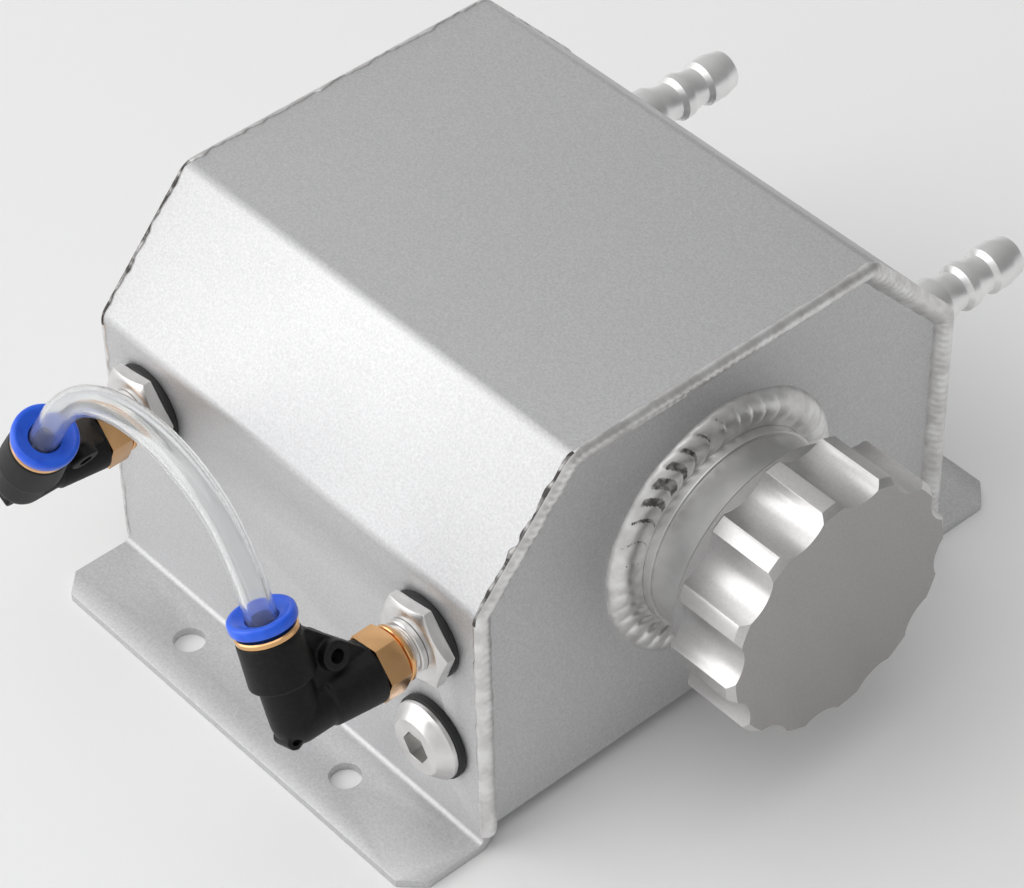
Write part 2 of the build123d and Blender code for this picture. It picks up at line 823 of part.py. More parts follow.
with BuildPart() as sight_tube:
    with BuildLine() as tube_line:
        FilletPolyline(*route_points, radius=route_radii)
    with BuildSketch(Plane(origin=tube_line.line @ 0, z_dir=tube_line.line % 0)):
        Circle(tube_radius)
        Circle(tube_bore_radius, mode=Mode.SUBTRACT)
    sweep(path=tube_line.line)
sight_tube.part.label = "sight_tube"
export_step(sight_tube.part, "parts/sight_tube.step")
print("tube length:", round(sum(edge.length for edge in tube_line.edges()), 1))


# Hose barbs and their beads on the back wall, number 1 on the cap side
ridge_1 = barb_ridge_start
ridge_2 = barb_ridge_start + barb_ridge_pitch
step_length = 1.0
for number, place_x in ((1, barb_x), (2, -barb_x)):
    barb_plane = Plane(origin=(place_x, half_body, barb_height), x_dir=(0, 1, 0), z_dir=(1, 0, 0))
    barb_axis = Axis((place_x, half_body, barb_height), (0, 1, 0))
    with BuildPart() as hose_barb:
        with BuildSketch(barb_plane):
            with BuildLine():
                Polyline(
                    (ridge_2, barb_ridge_radius),
                    (barb_length - 3.6, barb_ridge_radius),
                    (barb_length - 0.5, barb_tip_radius),
                    (barb_length, barb_tip_radius - 0.5),
                    (barb_length, barb_bore_radius),
                    (-sheet - barb_inside, barb_bore_radius),
                    (-sheet - barb_inside, barb_spigot_radius),
                    (0, barb_spigot_radius),
                    (0, barb_root_radius),
                    (ridge_1 - 6.5, barb_root_radius),
                )
                ThreePointArc(
                    (ridge_1 - 6.5, barb_root_radius),
                    (ridge_1 - 3.4, barb_waist_radius + 0.25),
                    (ridge_1 - step_length, barb_waist_radius),
                )
                Polyline(
                    (ridge_1 - step_length, barb_waist_radius),
                    (ridge_1, barb_ridge_radius),
                    (ridge_1 + barb_ridge_land, barb_ridge_radius),
                )
                ThreePointArc(
                    (ridge_1 + barb_ridge_land, barb_ridge_radius),
                    (ridge_1 + 0.58 * barb_ridge_pitch, barb_waist_radius + 0.2),
                    (ridge_2 - step_length, barb_waist_radius),
                )
                Line((ridge_2 - step_length, barb_waist_radius), (ridge_2, barb_ridge_radius))
            make_face()
        revolve(axis=barb_axis)
    hose_barb.part.label = f"hose_barb_{number}"
    export_step(hose_barb.part, f"parts/hose_barb_{number}.step")

    with BuildPart() as barb_weld:
        with BuildSketch(barb_plane):
            with BuildLine():
                inner = barb_root_radius + plate_gap
                Line((0, inner), (barb_bead, inner))
                ThreePointArc(
                    (barb_bead, inner),
                    (0.55 * barb_bead, inner + 0.55 * barb_bead),
                    (0, inner + barb_bead),
                )
                Line((0, inner + barb_bead), (0, inner))
            make_face()
        revolve(axis=barb_axis)
    barb_weld.part.label = f"barb_weld_{number}"
    export_step(barb_weld.part, f"parts/barb_weld_{number}.step")
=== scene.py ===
import math

import bpy
from mathutils import Matrix, Vector, noise


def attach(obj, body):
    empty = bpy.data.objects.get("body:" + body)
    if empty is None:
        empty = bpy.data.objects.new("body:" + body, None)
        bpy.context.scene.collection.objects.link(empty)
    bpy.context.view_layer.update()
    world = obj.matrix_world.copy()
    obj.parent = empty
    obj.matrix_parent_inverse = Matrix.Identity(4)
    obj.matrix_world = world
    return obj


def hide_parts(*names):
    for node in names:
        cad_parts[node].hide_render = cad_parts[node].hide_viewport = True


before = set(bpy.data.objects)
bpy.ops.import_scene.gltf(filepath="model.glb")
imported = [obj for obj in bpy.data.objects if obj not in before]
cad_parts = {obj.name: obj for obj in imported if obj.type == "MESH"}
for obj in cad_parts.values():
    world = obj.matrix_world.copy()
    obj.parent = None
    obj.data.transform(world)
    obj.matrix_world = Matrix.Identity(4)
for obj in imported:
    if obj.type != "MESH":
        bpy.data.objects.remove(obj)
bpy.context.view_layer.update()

MM = 0.001


# Tank sheet: flanges, walls, sloping faces and top are one 2 mm aluminium blank, folded on a
# press brake and bead-blasted all over. The end plates and the bottom plate are cut from the
# same sheet and let in between its walls.
def activate(piece):
    """Makes one piece the only selected and the active one."""
    bpy.ops.object.select_all(action="DESELECT")
    piece.select_set(True)
    bpy.context.view_layer.objects.active = piece


def apply_modifier(piece, kind, **settings):
    """Adds a modifier, sets it and applies it."""
    activate(piece)
    modifier = piece.modifiers.new(kind.lower(), kind)
    for key, value in settings.items():
        setattr(modifier, key, value)
    bpy.ops.object.modifier_apply(modifier=modifier.name)


def cut_with(piece, tool, operation="DIFFERENCE"):
    """Cuts a tool's shape out of a piece, or joins it on, and removes the tool."""
    apply_modifier(piece, "BOOLEAN", object=tool, operation=operation, solver="EXACT")
    bpy.data.objects.remove(tool)


def break_edges(piece, width, segments=2, angle=30.0):
    """Rounds the sharp edges by a small width and shades the rest smooth."""
    apply_modifier(piece, "BEVEL", width=width, segments=segments, limit_method="ANGLE",
                   angle_limit=math.radians(angle), use_clamp_overlap=True)
    activate(piece)
    bpy.ops.object.shade_smooth_by_angle(angle=math.radians(angle))


def select_where(piece, kind, test):
    """In edit mode, selects only the vertices or edges of a piece that pass a test."""
    bpy.ops.object.mode_set(mode="EDIT")
    bpy.ops.mesh.select_mode(type="VERT" if kind == "vertices" else "EDGE")
    bpy.ops.mesh.select_all(action="DESELECT")
    bpy.ops.object.mode_set(mode="OBJECT")
    mesh = piece.data
    if kind == "vertices":
        for vertex in mesh.vertices:
            vertex.select = test(vertex.co)
    else:
        for edge in mesh.edges:
            a, b = (mesh.vertices[i].co for i in edge.vertices)
            edge.select = test(a, b)
    bpy.ops.object.mode_set(mode="EDIT")


def belongs(piece, body, slot, *nodes):
    """Joins a finished piece to its body and hides the CAD nodes that it stands for; the slot is not
    used.
    """
    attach(piece, body)
    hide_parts(*nodes)


def new_material(name):
    """A new material, its nodes, its links and its shader."""
    material = bpy.data.materials.new(name)
    material.use_nodes = True
    nodes = material.node_tree.nodes
    return material, nodes, material.node_tree.links, nodes["Principled BSDF"]


def object_noise(nodes, links, scale, detail=2.0, stretch=(1, 1, 1)):
    """Noise fixed to the piece, its scale in features per metre."""
    place = nodes.new("ShaderNodeTexCoord")
    mapping = nodes.new("ShaderNodeMapping")
    mapping.inputs["Scale"].default_value = stretch
    texture = nodes.new("ShaderNodeTexNoise")
    texture.inputs["Scale"].default_value = scale
    texture.inputs["Detail"].default_value = detail
    links.new(place.outputs["Object"], mapping.inputs["Vector"])
    links.new(mapping.outputs["Vector"], texture.inputs["Vector"])
    return texture.outputs["Fac"]


def graded(nodes, links, source, stops):
    """Turns a 0 to 1 value into a colour. Stops are (position, colour) pairs."""
    node = nodes.new("ShaderNodeValToRGB")
    elements = node.color_ramp.elements
    while len(elements) < len(stops):
        elements.new(0.5)
    for element, (position, colour) in zip(elements, stops):
        element.position = position
        element.color = (*colour, 1.0)
    links.new(source, node.inputs["Fac"])
    return node.outputs["Color"]


def grey_range(nodes, links, source, low, high):
    """Maps a 0 to 1 value to a range, for roughness."""
    node = nodes.new("ShaderNodeMapRange")
    node.inputs["To Min"].default_value = low
    node.inputs["To Max"].default_value = high
    links.new(source, node.inputs["Value"])
    return node.outputs["Result"]


def relief(nodes, links, shader, source, depth, strength=1.0):
    """Raises and lowers the surface by a pattern of a real depth."""
    bump = nodes.new("ShaderNodeBump")
    bump.inputs["Strength"].default_value = strength
    bump.inputs["Distance"].default_value = depth
    links.new(source, bump.inputs["Height"])
    links.new(bump.outputs["Normal"], shader.inputs["Normal"])


blasted, nodes, links, shader = new_material("blasted_sheet")
shader.inputs["Metallic"].default_value = 1.0
grain = object_noise(nodes, links, 2200.0, 2.0)
cloud = object_noise(nodes, links, 22.0, 3.0)
links.new(graded(nodes, links, grain, [(0.3, (0.56, 0.56, 0.565)), (0.7, (0.66, 0.66, 0.665))]),
          shader.inputs["Base Color"])
links.new(grey_range(nodes, links, cloud, 0.54, 0.62), shader.inputs["Roughness"])
relief(nodes, links, shader, grain, 0.02 * MM, 0.4)

sheet = 2.0 * MM
tank_half = 55.0 * MM
wall_y = 61.0 * MM
top_y = 38.0 * MM
top_z = 88.5 * MM
shoulder_z = 63.0 * MM
flange_y = 79.0 * MM

bpy.ops.object.select_all(action="DESELECT")
bpy.ops.mesh.primitive_plane_add(size=1.0, location=(0, 0, 0))
wrap = bpy.context.object
wrap.name = "folded_sheet"
wrap.scale = (2 * tank_half, flange_y - wall_y, 1)
wrap.location = (0, -(flange_y + wall_y) / 2, sheet)
bpy.ops.object.transform_apply(location=True, rotation=True, scale=True)
fold_line = [(-wall_y, shoulder_z), (-top_y, top_z), (top_y, top_z), (wall_y, shoulder_z),
             (wall_y, sheet), (flange_y, sheet)]
select_where(wrap, "edges", lambda a, b: a.y > -wall_y - MM and b.y > -wall_y - MM)
y, z = -wall_y, sheet
for next_y, next_z in fold_line:
    bpy.ops.mesh.extrude_edges_move(
        TRANSFORM_OT_translate={"value": (0, next_y - y, next_z - z)})
    y, z = next_y, next_z
bpy.ops.object.mode_set(mode="OBJECT")

# The four corners of the flanges are cut off and every fold line is bent to its radius.
corner_cut = 4.5 * MM
inner_fold = 1.2 * MM
outer_fold = 1.3 * MM


def is_fold(a, b):
    """Whether an edge runs level from one end of the tank to the other."""
    return (a - b).length > 1.9 * tank_half and abs(a.z - b.z) < 0.1 * MM


select_where(wrap, "vertices", lambda co: abs(co.y) > flange_y - MM)
bpy.ops.mesh.bevel(offset=corner_cut, affect="VERTICES", segments=1)
select_where(wrap, "edges", lambda a, b: is_fold(a, b) and abs(a.y) < wall_y + MM and a.z < sheet + MM)
bpy.ops.mesh.bevel(offset=inner_fold, affect="EDGES", segments=6)
select_where(wrap, "edges", lambda a, b: is_fold(a, b) and a.z > shoulder_z - MM)
bpy.ops.mesh.bevel(offset=outer_fold, affect="EDGES", segments=8)
bpy.ops.object.mode_set(mode="OBJECT")
apply_modifier(wrap, "SOLIDIFY", thickness=sheet, offset=-1.0, use_even_offset=True)

# Four screw holes go through the flanges. The front wall is bored for the level tube's two
# ports and the drain, the back wall for the two barbs. Places along and up a wall are in mm.
screw_hole_radius = 3.25 * MM
wall_hole_radius = 5.35 * MM
hole_x, hole_y = 24.25, 69.25
front_wall, back_wall = -61.0, 61.0
port_x, port_z = 41.2, 49.2
drain_x, drain_z = 42.3, 22.5
barb_x, barb_z = 41.0, 49.5
for x, y in ((hole_x, hole_y), (hole_x, -hole_y), (-hole_x, hole_y), (-hole_x, -hole_y)):
    bpy.ops.mesh.primitive_cylinder_add(vertices=48, radius=screw_hole_radius, depth=8 * MM,
                                        location=(x * MM, y * MM, sheet / 2))
    cut_with(wrap, bpy.context.object)
for x, z, side in ((port_x, port_z, -1), (-port_x, port_z, -1), (drain_x, drain_z, -1),
                   (barb_x, barb_z, 1), (-barb_x, barb_z, 1)):
    bpy.ops.mesh.primitive_cylinder_add(vertices=48, radius=wall_hole_radius, depth=8 * MM,
                                        location=(x * MM, side * (wall_y - sheet / 2), z * MM),
                                        rotation=(math.pi / 2, 0, 0))
    cut_with(wrap, bpy.context.object)
break_edges(wrap, 0.25 * MM)
wrap.data.materials.append(blasted)
belongs(wrap, "tank", "sheet_aluminium", "body_wrap")

for name in ("cap_end_plate", "closed_end_plate", "bottom_plate"):
    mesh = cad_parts[name].data
    mesh.materials.clear()
    mesh.materials.append(blasted)


# Welds: TIG beads in aluminium filler rod, laid in overlapping puddles. They close both end
# seams, hold the filler neck and the hose barbs, and run round the bottom plate.
bead_metal, nodes, links, shader = new_material("weld_metal")
shader.inputs["Metallic"].default_value = 1.0
shader.inputs["Roughness"].default_value = 0.4
grain = object_noise(nodes, links, 1700.0, 3.0)
soot = object_noise(nodes, links, 260.0, 3.0)
links.new(graded(nodes, links, soot, [(0.38, (0.66, 0.65, 0.64)), (0.62, (0.82, 0.815, 0.81))]),
          shader.inputs["Base Color"])
relief(nodes, links, shader, grain, 0.03 * MM, 0.7)

# A dark tone is painted on the lapped edge of the end beads along the front slope: painted shade under
# the lap.
lap_shade, nodes, links, shader = new_material("weld_lap_painted_shade")
shader.inputs["Metallic"].default_value = 1.0
shader.inputs["Roughness"].default_value = 0.5
mottle = object_noise(nodes, links, 420.0, 3.0)
links.new(graded(nodes, links, mottle, [(0.46, (0.07, 0.065, 0.062)), (0.64, (0.4, 0.39, 0.38))]),
          shader.inputs["Base Color"])

# The hollows between the neck bead's ripples at its upper left get a darker grey: painted shade where
# the ripples shade each other.
ripple_shade, nodes, links, shader = new_material("weld_ripple_painted_shade")
shader.inputs["Metallic"].default_value = 1.0
shader.inputs["Roughness"].default_value = 0.4
mottle = object_noise(nodes, links, 700.0, 3.0)
links.new(graded(nodes, links, mottle, [(0.4, (0.16, 0.155, 0.15)), (0.62, (0.5, 0.49, 0.48))]),
          shader.inputs["Base Color"])


def puddles(count, across, point, seed):
    """Height of a rippled bead, 0 to 1. Each puddle is a crescent that laps the one before."""
    place = point * 90.0 + Vector((seed, 0, 0))
    phase = count + 0.5 * noise.noise(place) - 0.55 * across * across
    part = phase - math.floor(phase)
    strength = 0.8 + 0.2 * math.sin(5.0 * noise.noise(place * 0.45))
    return math.sin(math.pi * part ** 0.5) * strength


def bead(name, stations, profile, closed):
    """A weld bead: cross-sections along a seam, joined into one skin.

    A station is (point on the seam, outward, sideways, puddle count). The profile gives the
    section's (sideways, outward) points there, in millimetres, in order round the section."""
    vertices, faces = [], []
    for point, outward, sideways, count in stations:
        section = profile(point, sideways, count)
        for across, height in section:
            vertices.append(point + sideways * across * MM + outward * height * MM)
    width = len(section)
    rows = len(stations)
    for row in range(rows if closed else rows - 1):
        after = (row + 1) % rows
        for i in range(width):
            j = (i + 1) % width
            faces.append((row * width + i, row * width + j, after * width + j, after * width + i))
    if not closed:
        faces.append(tuple(range(width)))
        faces.append(tuple((rows - 1) * width + i for i in range(width)))
    mesh = bpy.data.meshes.new(name)
    mesh.from_pydata(vertices, [], faces)
    piece = bpy.data.objects.new(name, mesh)
    bpy.context.scene.collection.objects.link(piece)
    activate(piece)
    bpy.ops.object.mode_set(mode="EDIT")
    bpy.ops.mesh.select_all(action="SELECT")
    bpy.ops.mesh.normals_make_consistent(inside=False)
    bpy.ops.object.mode_set(mode="OBJECT")
    bpy.ops.object.shade_smooth_by_angle(angle=math.radians(60))
    mesh.materials.append(bead_metal)
    return piece


def ring_stations(centre, outward, start, middle, steps, total):
    """Stations round a circle. start is the first sideways direction, middle the radius."""
    result = []
    for step in range(steps):
        turn = Matrix.Rotation(2 * math.pi * step / steps, 3, outward)
        sideways = turn @ start
        result.append((centre + sideways * middle, outward, sideways, total * step / steps))
    return result


# The neck's bead is wide, 22 to 29 mm from the neck's axis, on the cap end plate. Its ripples
# are deep at the upper left as seen from the cap, less deep at the lower left, and flat elsewhere.
neck_z = 46.5
neck_centre = Vector((53.8, 0, neck_z)) * MM
neck_bead_middle = 25.1 * MM
neck_bead_seed = 4
across_steps = 30
crest = 0.38


def bump_near(turn, centre, width):
    """1 at one angle round the neck, falling to 0 away from it."""
    return math.exp(-((turn - centre) / width) ** 2)


def neck_turn(sideways):
    """Angle round the neck in degrees, up from the level tube's side."""
    return math.degrees(math.atan2(sideways.z, -sideways.y))


def neck_section(point, sideways, count):
    """The bead's section, across from its middle radius and up from the plate."""
    inner = -3.35
    toe = 3.8 + 0.6 * noise.noise(point * 90.0)
    turn = neck_turn(sideways)
    depth = 0.95 * (0.22 + 1.3 * bump_near(turn, 68, 27) + 0.8 * bump_near(turn, -32, 19))
    points = []
    for i in range(across_steps + 1):
        t = i / across_steps
        if t < crest:
            height = 2.4 + 0.5 * math.sin(math.pi / 2 * t / crest)
        else:
            height = 0.1 + 2.8 * (1 - ((t - crest) / (1 - crest)) ** 2.3) ** 0.7
        ripple = (puddles(count, 2 * t - 1, point, neck_bead_seed) - 0.6) * depth
        points.append((inner + t * (toe - inner), height + ripple * min(1.0, 6 * t, 5 * (1 - t))))
    return points + [(toe, -0.1), (inner, -0.1)]


neck_stations = ring_stations(neck_centre, Vector((1, 0, 0)), Vector((0, 1, 0)),
                              neck_bead_middle, 640, 42)
neck_bead = bead("neck_bead", neck_stations, neck_section, True)
neck_bead.data.materials.append(ripple_shade)
# Faces low between the ripples near the upper left take the painted shade.
for face in neck_bead.data.polygons:
    row, strip = divmod(face.index, across_steps + 3)
    point, outward, sideways, count = neck_stations[row]
    height = puddles(count, 2 * (strip + 0.5) / across_steps - 1, point, neck_bead_seed)
    if 2 < strip < across_steps - 3 and height < 0.52 * bump_near(neck_turn(sideways), 54, 17):
        face.material_index = 1
belongs(neck_bead, "tank", "weld_aluminium", "neck_weld")

# The end beads start and stop at the flanges and cover the sheet's cut edge.
seam_corner = 5.0 * MM
seam_step = 0.45 * MM
seam_puddle = 1.7 * MM
foot_z = 4.0 * MM


def seam_path():
    """Points along the end seam and the inward direction at each, from foot to foot."""
    corners = [Vector((0, y, z)) for y, z in ((wall_y, foot_z), (wall_y, shoulder_z), (top_y, top_z),
                                             (-top_y, top_z), (-wall_y, shoulder_z), (-wall_y, foot_z))]
    path = []
    here = corners[0]
    for before, corner, after in zip(corners, corners[1:], corners[2:] + [None]):
        ahead = (corner - before).normalized()
        inward = Vector((0, -ahead.z, ahead.y))
        if after is None:
            turn, setback = 0.0, 0.0
        else:
            turn = ahead.angle(after - corner)
            setback = seam_corner * math.tan(turn / 2)
        end = corner - ahead * setback
        run = (end - here).length
        steps = max(1, round(run / seam_step))
        path += [(here.lerp(end, i / steps), inward) for i in range(steps)]
        here = end
        if after is not None:
            centre = end + inward * seam_corner
            steps = max(1, round(seam_corner * turn / seam_step))
            for i in range(steps):
                rotation = Matrix.Rotation(turn * i / steps, 3, Vector((1, 0, 0)))
                path.append((centre + rotation @ (end - centre), rotation @ inward))
            here = centre + Matrix.Rotation(turn, 3, Vector((1, 0, 0))) @ (end - centre)
    return path + [(here, inward)]


def end_section(point, sideways, count):
    """Section of an end bead: inwards from the seam's edge, and out from the cut edge."""
    lap = 0.75 + 0.6 * noise.noise(point * 310.0) + 0.3 * noise.noise(point * 900.0)
    toe = 4.35 + 0.3 * noise.noise(point * 260.0 + Vector((5, 0, 0)))
    points = [(0.1, -lap - 0.1), (-0.16, -lap), (-0.3, -lap * 0.55)]
    for i in range(17):
        t = i / 16
        across = 2 * t - 1
        if t < 0.45:
            base = 0.95 - 0.95 * ((0.45 - t) / 0.45) ** 2.3
        else:
            base = 0.95 - 1.75 * ((t - 0.45) / 0.55) ** 1.7
        ripple = (puddles(count, across, point, 11) - 0.5) * 0.3 * (1 - across ** 4)
        points.append((-0.15 + t * (toe - 0.1), base + ripple))
    return points + [(toe + 0.05, -1.3), (toe - 0.6, -1.35)]


path = seam_path()
for name, node, end in (("cap_end_bead", "cap_end_weld", 1), ("closed_end_bead", "closed_end_weld", -1)):
    stations = []
    for i, (point, inward) in enumerate(path):
        stations.append((Vector((end * tank_half, point.y, point.z)), Vector((end, 0, 0)), inward,
                         i * seam_step / seam_puddle))
    piece = bead(name, stations, end_section, False)
    piece.data.materials.append(lap_shade)
    width = len(end_section(path[0][0], None, 0))
    for face in piece.data.polygons:
        row, strip = divmod(face.index, width)
        # Faces on the bead's lapped edge along the front slope take the painted shade.
        on_slope = face.center.y < -top_y + MM and face.center.z > shoulder_z - 2 * MM
        if strip in (1, 2) and on_slope:
            face.material_index = 1
    belongs(piece, "tank", "weld_aluminium", node)


# The bottom bead lies in the corner under the bottom plate and the barb beads are fillets.
def corner_section(point, sideways, count):
    """Low round section for the bead under the bottom plate."""
    points = []
    for i in range(11):
        across = i / 5 - 1
        crown = (1 - abs(across) ** 2.6) ** 0.62
        ripple = (puddles(count, across, point, 21) - 0.5) * 0.25 * crown
        points.append((1.05 * across, 0.05 + 1.2 * crown + ripple))
    return points + [(1.05, -0.1), (-1.05, -0.1)]


bottom_corners = [Vector((x, y, 4.0)) * MM
                  for x, y in ((51.8, -57.85), (51.8, 57.85), (-51.8, 57.85), (-51.8, -57.85))]
stations = []
for i, start in enumerate(bottom_corners):
    before, end = bottom_corners[i - 1], bottom_corners[(i + 1) % 4]
    inward = (before - start).normalized() + (end - start).normalized()
    stations.append((start, Vector((0, 0, -1)), inward, 0.0))
    ahead = (end - start).normalized()
    side = Vector((-ahead.y, ahead.x, 0))
    steps = round((end - start).length / (0.6 * MM))
    for step in range(2, steps - 1):
        stations.append((start.lerp(end, step / steps), Vector((0, 0, -1)), side, step * 0.35))
bottom_bead = bead("bottom_bead", stations, corner_section, True)
belongs(bottom_bead, "tank", "weld_aluminium", "bottom_weld")


def fillet_section(point, sideways, count):
    """Fillet section for the bead at the root of a hose barb."""
    points = []
    for i in range(13):
        t = i / 12
        ripple = (puddles(count, 2 * t - 1, point, 31) - 0.5) * 0.45 * math.sin(math.pi * t)
        points.append((-1.2 + 2.4 * t, 2.3 * (1 - t) ** 0.75 + ripple))
    return points + [(1.2, -0.1), (-1.2, -0.1)]


for number, x in ((1, barb_x), (2, -barb_x)):
    stations = ring_stations(Vector((x, back_wall, barb_z)) * MM, Vector((0, 1, 0)),
                             Vector((1, 0, 0)), 6.85 * MM, 200, 26)
    piece = bead(f"barb_bead_{number}", stations, fillet_section, True)
    belongs(piece, "tank", "weld_aluminium", f"barb_weld_{number}")


# Filler neck: a ring turned from aluminium bar, let into the end plate and welded round. It
# has a collar at the plate, a plain waist and a coarse right-hand thread for the cap.
def turned(name, outline, segments=96, ring=True):
    """Lathe work along +Z: a circle extruded and resized along (along, radius) points in mm.

    A ring's outline runs back to its start; any other outline gets its two ends filled."""
    along, radius = outline[0]
    bpy.ops.object.select_all(action="DESELECT")
    bpy.ops.mesh.primitive_circle_add(vertices=segments, radius=radius * MM, location=(0, 0, 0))
    piece = bpy.context.object
    piece.name = name
    bpy.ops.object.mode_set(mode="EDIT")
    bpy.ops.mesh.select_all(action="SELECT")
    bpy.ops.transform.translate(value=(0, 0, along * MM))
    for next_along, next_radius in outline[1:] + outline[:1] * ring:
        bpy.ops.mesh.extrude_edges_move(
            TRANSFORM_OT_translate={"value": (0, 0, (next_along - along) * MM)})
        factor = next_radius / radius
        bpy.ops.transform.resize(value=(factor, factor, 1),
                                 center_override=(0, 0, next_along * MM))
        along, radius = next_along, next_radius
    bpy.ops.mesh.select_all(action="SELECT")
    if ring:
        bpy.ops.mesh.remove_doubles(threshold=0.000002)
    else:
        bpy.ops.mesh.fill_holes(sides=0)
    bpy.ops.mesh.select_all(action="SELECT")
    bpy.ops.mesh.normals_make_consistent(inside=False)
    bpy.ops.object.mode_set(mode="OBJECT")
    return piece


def smooth(piece, angle=35.0):
    """Shades a piece smooth up to an angle between faces."""
    activate(piece)
    bpy.ops.object.shade_smooth_by_angle(angle=math.radians(angle))


def place(piece, matrix):
    """Moves a piece to its place and keeps the place in the mesh."""
    activate(piece)
    piece.matrix_world = matrix
    bpy.ops.object.transform_apply(location=True, rotation=True, scale=True)


def turn_to(x, y, z, axis, degrees):
    """Place at a point in mm, with +Z turned by an angle about a world axis."""
    return Matrix.Translation(Vector((x, y, z)) * MM) @ Matrix.Rotation(math.radians(degrees), 4, axis)


def thread_rows(start, end, radius, pitch):
    """Outline points close enough together to carry a thread."""
    count = round(abs(end - start) / pitch * 10)
    return [(start + (end - start) * i / count, radius) for i in range(count + 1)]


def cut_thread(piece, start, end, radius, pitch, depth, inner=False):
    """Moves the rows of a turned piece in and out along a right-hand helix that fades out."""
    away = 1 if inner else -1
    for vertex in piece.data.vertices:
        along = vertex.co.z / MM
        spoke = math.hypot(vertex.co.x, vertex.co.y)
        if abs(spoke / MM - radius) < 0.02 and start - 0.01 <= along <= end + 0.01:
            phase = along / pitch - math.atan2(vertex.co.y, vertex.co.x) / (2 * math.pi)
            wave = 4 * abs(phase - math.floor(phase) - 0.5) - 1
            wave = max(-1.0, min(1.0, 1.35 * wave))
            fade = max(0.0, min(1.0, (along - start) / pitch * 2, (end - along) / pitch * 2))
            reach = radius + depth / 2 * (away + (wave - away) * fade)
            vertex.co.x *= reach * MM / spoke
            vertex.co.y *= reach * MM / spoke


def turned_metal(name, low, high, roughness, axis):
    """Aluminium with the fine rings of a lathe tool across one axis."""
    material, nodes, links, shader = new_material(name)
    shader.inputs["Metallic"].default_value = 1.0
    rings = object_noise(nodes, links, 2600.0, 2.0, axis)
    mottle = object_noise(nodes, links, 140.0, 4.0)
    links.new(graded(nodes, links, mottle, [(0.35, low), (0.65, high)]),
              shader.inputs["Base Color"])
    links.new(grey_range(nodes, links, mottle, roughness - 0.05, roughness + 0.05),
              shader.inputs["Roughness"])
    relief(nodes, links, shader, rings, 0.012 * MM, 0.7)
    return material


neck_metal = turned_metal("neck_metal", (0.6, 0.595, 0.59), (0.7, 0.695, 0.69), 0.36, (1, 0, 0))
neck_place = turn_to(0, 0, neck_z, "Y", 90)
screw_pitch = 3.5
screw_depth = 0.8
neck_thread_radius = 20.7
neck_outline = [(50.0, 17.5), (50.0, 21.7), (57.9, 21.7), (58.2, 21.6), (58.3, 21.35),
                (58.3, 21.0), (65.9, 21.0),
                *thread_rows(66.2, 78.8, neck_thread_radius, screw_pitch),
                (79.2, 20.2), (79.6, 19.8), (79.6, 17.8), (79.3, 17.5)]
neck = turned("neck_ring", neck_outline, 144)
cut_thread(neck, 66.2, 78.8, neck_thread_radius, screw_pitch, screw_depth)
smooth(neck)
place(neck, neck_place)
neck.data.materials.append(neck_metal)
belongs(neck, "tank", "turned_aluminium", "filler_neck")


# Filler cap: a cup milled from bar, with twelve concave grips, a plain band at the back, a
# thread inside and a flat rubber seal against the neck's rim.
def milled_metal(name, low, high, roughness):
    """Aluminium with a very fine even grain, as it leaves the cutter and the wash."""
    material, nodes, links, shader = new_material(name)
    shader.inputs["Metallic"].default_value = 1.0
    grain = object_noise(nodes, links, 1800.0, 3.0)
    mottle = object_noise(nodes, links, 60.0, 3.0)
    links.new(graded(nodes, links, grain, [(0.3, low), (0.7, high)]), shader.inputs["Base Color"])
    links.new(grey_range(nodes, links, mottle, roughness - 0.03, roughness + 0.03),
              shader.inputs["Roughness"])
    relief(nodes, links, shader, grain, 0.01 * MM, 0.4)
    return material


cap_metal = milled_metal("cap_metal", (0.58, 0.57, 0.565), (0.64, 0.63, 0.625), 0.33)
# The cap's flat face is a darker copy of the cap metal: painted shade.
cap_face_painted_shade = milled_metal("cap_face_painted_shade", (0.36, 0.345, 0.34), (0.4, 0.385, 0.38), 0.36)

cap_thread_radius = 20.8
flute_ring_radius = 32.7 * MM
cap_outline = [(82.2, cap_thread_radius), (79.6, cap_thread_radius),
               *thread_rows(79.4, 68.4, cap_thread_radius, screw_pitch), (68.0, 21.3),
               (67.5, 21.6), (67.5, 24.6), (67.9, 25.0), (70.2, 25.0), (70.2, 27.6), (70.6, 28.0),
               (84.9, 28.0), (86.2, 26.7)]
cap = turned("screw_cap", cap_outline, 144, ring=False)
for i in range(12):
    angle = math.radians(30 * i + 8)
    bpy.ops.mesh.primitive_cylinder_add(
        vertices=64, radius=7.65 * MM, depth=20 * MM,
        location=(flute_ring_radius * math.sin(angle), flute_ring_radius * math.cos(angle),
                  80.15 * MM))
    cut_with(cap, bpy.context.object)
break_edges(cap, 0.3 * MM, 3)
cut_thread(cap, 68.4, 79.4, cap_thread_radius, screw_pitch, screw_depth, inner=True)
smooth(cap)
place(cap, neck_place)
cap.data.materials.append(cap_metal)
cap.data.materials.append(cap_face_painted_shade)
# Faces on the cap's flat end take the painted shade.
for face in cap.data.polygons:
    if face.normal.x > 0.99 and face.center.x > 86.0 * MM:
        face.material_index = 1
belongs(cap, "cap", "turned_aluminium", "filler_cap")

rubber, nodes, links, shader = new_material("black_rubber")
shader.inputs["Base Color"].default_value = (0.012, 0.012, 0.012, 1)
shader.inputs["Roughness"].default_value = 0.6
relief(nodes, links, shader, object_noise(nodes, links, 1500.0, 3.0), 0.03 * MM, 0.5)


def give(material, *names):
    """Puts a material on CAD nodes in place of their plain one."""
    for name in names:
        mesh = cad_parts[name].data
        mesh.materials.clear()
        mesh.materials.append(material)


give(rubber, "cap_seal")


